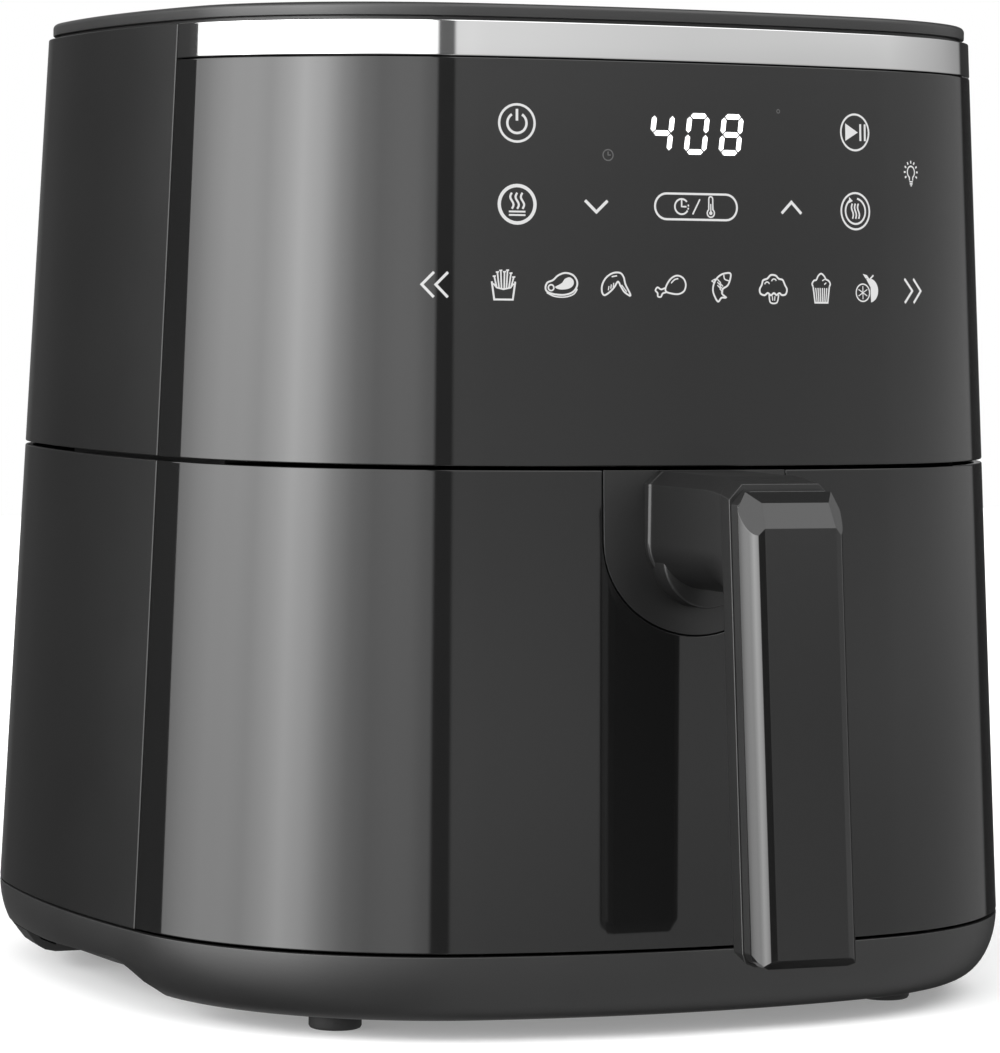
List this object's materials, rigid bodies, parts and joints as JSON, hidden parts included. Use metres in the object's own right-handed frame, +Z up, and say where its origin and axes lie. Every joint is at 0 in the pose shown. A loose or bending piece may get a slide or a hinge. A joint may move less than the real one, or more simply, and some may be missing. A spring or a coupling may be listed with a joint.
{
  "type": "air fryer",
  "caption": "Drawer-type air fryer: a rounded-square countertop body with a touch panel and a pull-out pan on a hanging grip, under a fan and heating element.",
  "frame": {"origin": "middle of the whole footprint, grip and rear vent cover included, on the surface that the feet stand on", "axes": "+Z up, -Y out of the front where the drawer and its grip are, +X to the right of a person facing the front"},
  "size_m": [0.3154, 0.4042, 0.325],
  "materials": {
    "deep_black": "black heat-resistant moulding",
    "matte_black": "fine matt black moulding",
    "gloss_black": "polished black",
    "chrome": "bright plated",
    "rubber": "black rubber",
    "silicone": "dark silicone",
    "steel": "bare pressed steel",
    "aluminium": "plain aluminium",
    "element_steel": "heat-browned sheath",
    "non_stick": "dark non-stick coating",
    "board": "green circuit board",
    "clear_glass": "clear glass"
  },
  "bodies": {
    "housing": {"bottom_pan": "deep_black", "drawer_bay": "deep_black", "divider_plate": "deep_black", "transformer": "deep_black", "heater_relay": "deep_black", "display_module": "deep_black", "board_carrier": "deep_black", "thermal_cutout": "deep_black", "drawer_switch": "deep_black", "base_skirt": "matte_black", "lower_side_shell": "matte_black", "upper_side_shell": "matte_black", "top_cover": "matte_black", "rear_vent_cover": "matte_black", "touch_panel": "gloss_black", "chrome_trim": "chrome", "foot_front_left": "rubber", "foot_front_right": "rubber", "foot_rear_left": "rubber", "foot_rear_right": "rubber", "cord_gland": "rubber", "base_screw_front_left": "steel", "base_screw_front_right": "steel", "base_screw_rear_left": "steel", "base_screw_rear_right": "steel", "element_guard": "steel", "heat_shield": "steel", "motor_bracket": "steel", "exhaust_duct": "steel", "lamp_holder": "steel", "temperature_sensor": "steel", "heat_chamber": "aluminium", "fan_motor": "aluminium", "smoothing_capacitor": "aluminium", "heating_element": "element_steel", "power_board": "board", "control_board": "board", "lamp_bulb": "clear_glass", "lamp_lens": "clear_glass"},
    "drawer": {"drawer_front": "gloss_black", "drawer_frame": "deep_black", "handle_mount": "matte_black", "handle_body": "matte_black", "handle_cover": "gloss_black", "handle_bracket": "steel", "handle_screw_upper": "steel", "handle_screw_lower": "steel", "fry_pan": "non_stick"},
    "crisper": {"crisper_plate": "non_stick", "plate_bumper_right": "silicone", "plate_bumper_rear": "silicone", "plate_bumper_left": "silicone", "plate_bumper_front": "silicone"},
    "rotor": {"motor_shaft": "steel", "circulation_fan": "steel", "cooling_fan": "deep_black"}
  },
  "joints": [
    {"name": "drawer_slide", "type": "slide", "parent": "housing", "child": "drawer", "axis": [0, -1, 0], "range_m": [0, 0.25]},
    {"name": "crisper_lift", "type": "slide", "parent": "drawer", "child": "crisper", "axis": [0, 0, 1], "range_m": [0, 0.11]},
    {"name": "fan_spin", "type": "hinge", "parent": "housing", "child": "rotor", "pos_m": [0, 0.03608, 0.25], "axis": [0, 0, 1], "continuous": true}
  ]
}
